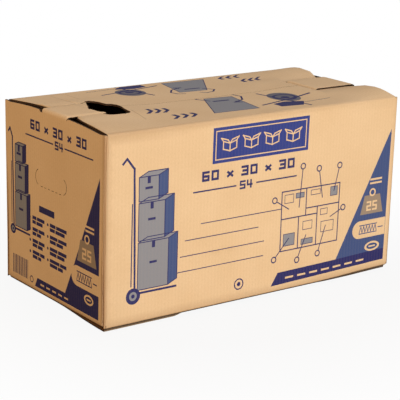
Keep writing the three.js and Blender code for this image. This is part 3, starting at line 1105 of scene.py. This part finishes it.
def make_lock_flap(end):
    sign = -1 if end == "left" else 1
    centre = sum(PANELS[end]) / 2
    base = NECK_TOP[end] - ROOT_FOLD
    shoulder = ROOT_ARC + NECK_LENGTH[end] - ROOT_FOLD
    bend_arc = HEAD_BEND[end] * HEAD_FOLD[end]
    total = shoulder + bend_arc + HEAD_LENGTH[end]
    half, wide = NECK_WIDTH / 2, HEAD_WIDTH / 2
    tuck = shoulder + (bend_arc + TUCK)
    outline = [
        (NICK[end] - half, 0), (half, 0), (half, tuck - TUCK_SLOPE), (wide, tuck), (wide, total - HEAD_CUT),
        (wide - HEAD_CUT, total), (HEAD_CUT - wide, total), (-wide, total - HEAD_CUT),
    ]
    if end == "left":
        outline += [(t, shoulder + s) for t, s in TORN_NOTCH] + [(-half, NICK_LENGTH)]
    else:
        outline += [(-wide, tuck), (-half, tuck - TUCK_SLOPE)]
    loop = [(centre + t, base + s) for t, s in outline]
    lines = []
    before, after, bend_steps = BEND_ROWS
    bend = (shoulder - before, bend_arc + before + after, bend_steps)
    for begin, length, steps in ((0.0, ROOT_ARC, ROOT_STEPS), bend):
        for i in range(steps + 1):
            v = base + begin + length * i / steps
            lines.append(((centre - wide - 1, v), (centre + wide + 1, v)))
    for side in (-1, 1):
        for inset in EDGE_ROWS:
            u = centre + side * (half - inset)
            lines.append(((u, base + 0.1), (u, base + total - HEAD_CUT)))
    points = []
    columns = int(wide // GRID_LID)
    for i in range(-columns, columns + 1):
        for j in range(1, int(total // GRID_LID)):
            if abs(i * GRID_LID) < (half if j * GRID_LID < tuck else wide) - 0.5:
                points.append((centre + i * GRID_LID, base + j * GRID_LID))

    def mapping(u, v, depth):
        s, t = v - base, u - centre
        d, z, slope = flap_path(end, s, t)
        neck = smooth(s / ROOT_ARC) * fall(s, tuck - TUCK, 6)
        crushed = CRUSHED[end] * neck * rise(abs(t), half - CRUSHED_WIDTH, CRUSHED_WIDTH)
        depth = depth + crushed * (1 - depth / BOARD)
        d += depth * math.sin(slope)
        z -= depth * math.cos(slope)
        return Vector((sign * (HALF_LENGTH - d), sign * t, z))

    obj = sheet_mesh(f"{end}_lock_flap_sheet", loop, [], [], points, lines, mapping)
    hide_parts(f"{end}_lock_flap")
    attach(obj, f"{end}_lock_flap")
    return obj


def shade_smooth(obj, angle=30):
    for polygon in obj.data.polygons:
        polygon.use_smooth = True
    obj.data.set_sharp_from_angle(angle=math.radians(angle))


# The floor lies just under the sagging flap. Its base colour lights the carton's foot, and the camera sees
# it white, a little darker near the carton so that the shadow shows.
FLOOR_CLEARANCE = 0.2
FLOOR_SIZE = 14
FLOOR_COLOUR = (0.40, 0.31, 0.22, 1)
FLOOR_GLOW = 0.92
GLOW_FROM, GLOW_TO = 0.33, 0.75
WORLD_COLOUR = (1.0, 0.98, 0.95, 1)
WORLD_LIGHT = 0.24
AIM = Vector((0, 0, 0.15))
# Name, place in metres, size, watts and colour.
LAMPS = [
    ("key", (0.1, -2.8, 0.6), 1.2, 61.0, (1.0, 1.0, 0.97)),
    ("top", (0.3, 0.4, 2.6), 1.6, 17.0, (0.94, 1.0, 1.12)),
    ("side", (-2.3, 0.0, 1.2), 1.2, 18.0, (1.0, 0.69, 0.34)),
]


def make_floor():
    bpy.ops.mesh.primitive_plane_add(size=FLOOR_SIZE, location=(0, 0, -(SAG + FLOOR_CLEARANCE) * MM))
    floor = bpy.context.object
    floor.name = "floor"
    n = Nodes("floor_white")
    n.shader.inputs["Base Color"].default_value = FLOOR_COLOUR
    n.shader.inputs["Roughness"].default_value = 0.95
    glow = n.add("ShaderNodeEmission", {"Color": (1, 1, 1, 1), "Strength": 1.0})
    path = n.add("ShaderNodeLightPath")
    spot = n.add("ShaderNodeTexCoord").outputs["Object"]
    away = n.add("ShaderNodeVectorMath", {0: spot}, operation="LENGTH").outputs["Value"]
    cover = n.scaled(n.ramp(away, GLOW_FROM, GLOW_TO), 1 - FLOOR_GLOW, FLOOR_GLOW)
    seen = n.math("MULTIPLY", path.outputs["Is Camera Ray"], cover)
    mixed = n.add("ShaderNodeMixShader", {0: seen, 1: n.shader.outputs[0], 2: glow.outputs[0]})
    n.tree.links.new(mixed.outputs[0], n.tree.nodes["Material Output"].inputs[0])
    floor.data.materials.append(n.material)


def make_world():
    """Weak even light, seen white by the camera."""
    world = bpy.data.worlds.new("studio")
    bpy.context.scene.world = world
    world.use_nodes = True
    tree = world.node_tree
    back = tree.nodes["Background"]
    back.inputs["Color"].default_value = WORLD_COLOUR
    path = tree.nodes.new("ShaderNodeLightPath")
    strength = tree.nodes.new("ShaderNodeMix")
    strength.inputs[2].default_value = WORLD_LIGHT
    strength.inputs[3].default_value = 1.0
    tree.links.new(path.outputs["Is Camera Ray"], strength.inputs[0])
    tree.links.new(strength.outputs[0], back.inputs["Strength"])


def make_lamps():
    for name, spot, size, power, colour in LAMPS:
        data = bpy.data.lights.new(name, "AREA")
        data.shape = "DISK"
        data.size = size
        data.energy = power
        data.color = colour
        lamp = bpy.data.objects.new(name, data)
        bpy.context.scene.collection.objects.link(lamp)
        lamp.location = spot
        lamp.rotation_euler = (AIM - Vector(spot)).to_track_quat("-Z", "Y").to_euler()


# Camera, fitted to the corners of the photographed carton in a frame 400 pixels wide.
VIEW_AZIMUTH = math.radians(-36.76)
VIEW_ELEVATION = math.radians(15.6)
VIEW_ROLL = math.radians(1.674)
VIEW_DISTANCE = 2.4999
VIEW_TARGET = Vector((-0.00907, -0.00133, 0.13275))
FOCAL_PIXELS = 1441.84
FRAME_PIXELS = 400
SENSOR = 36.0


def make_camera():
    """The camera's axes from its azimuth and elevation, then rolled."""
    data = bpy.data.cameras.new("camera")
    data.sensor_width = SENSOR
    data.lens = SENSOR * FOCAL_PIXELS / FRAME_PIXELS
    obj = bpy.data.objects.new("camera", data)
    bpy.context.scene.collection.objects.link(obj)
    a, e = VIEW_AZIMUTH, VIEW_ELEVATION
    back = Vector((math.sin(a) * math.cos(e), -math.cos(a) * math.cos(e), math.sin(e)))
    right = Vector((math.cos(a), math.sin(a), 0))
    up = back.cross(right)
    turned_right = right * math.cos(VIEW_ROLL) + up * math.sin(VIEW_ROLL)
    turned_up = up * math.cos(VIEW_ROLL) - right * math.sin(VIEW_ROLL)
    axes = Matrix((turned_right, turned_up, back)).transposed().to_4x4()
    obj.matrix_world = Matrix.Translation(VIEW_TARGET + back * VIEW_DISTANCE) @ axes
    bpy.context.scene.camera = obj


make_camera()
carton = make_carton()
flaps = [make_lock_flap(end) for end in ("left", "right")]
for piece in [carton, *flaps]:
    shade_smooth(piece)
make_floor()
make_world()
make_lamps()
bpy.context.scene.view_settings.view_transform = "Standard"
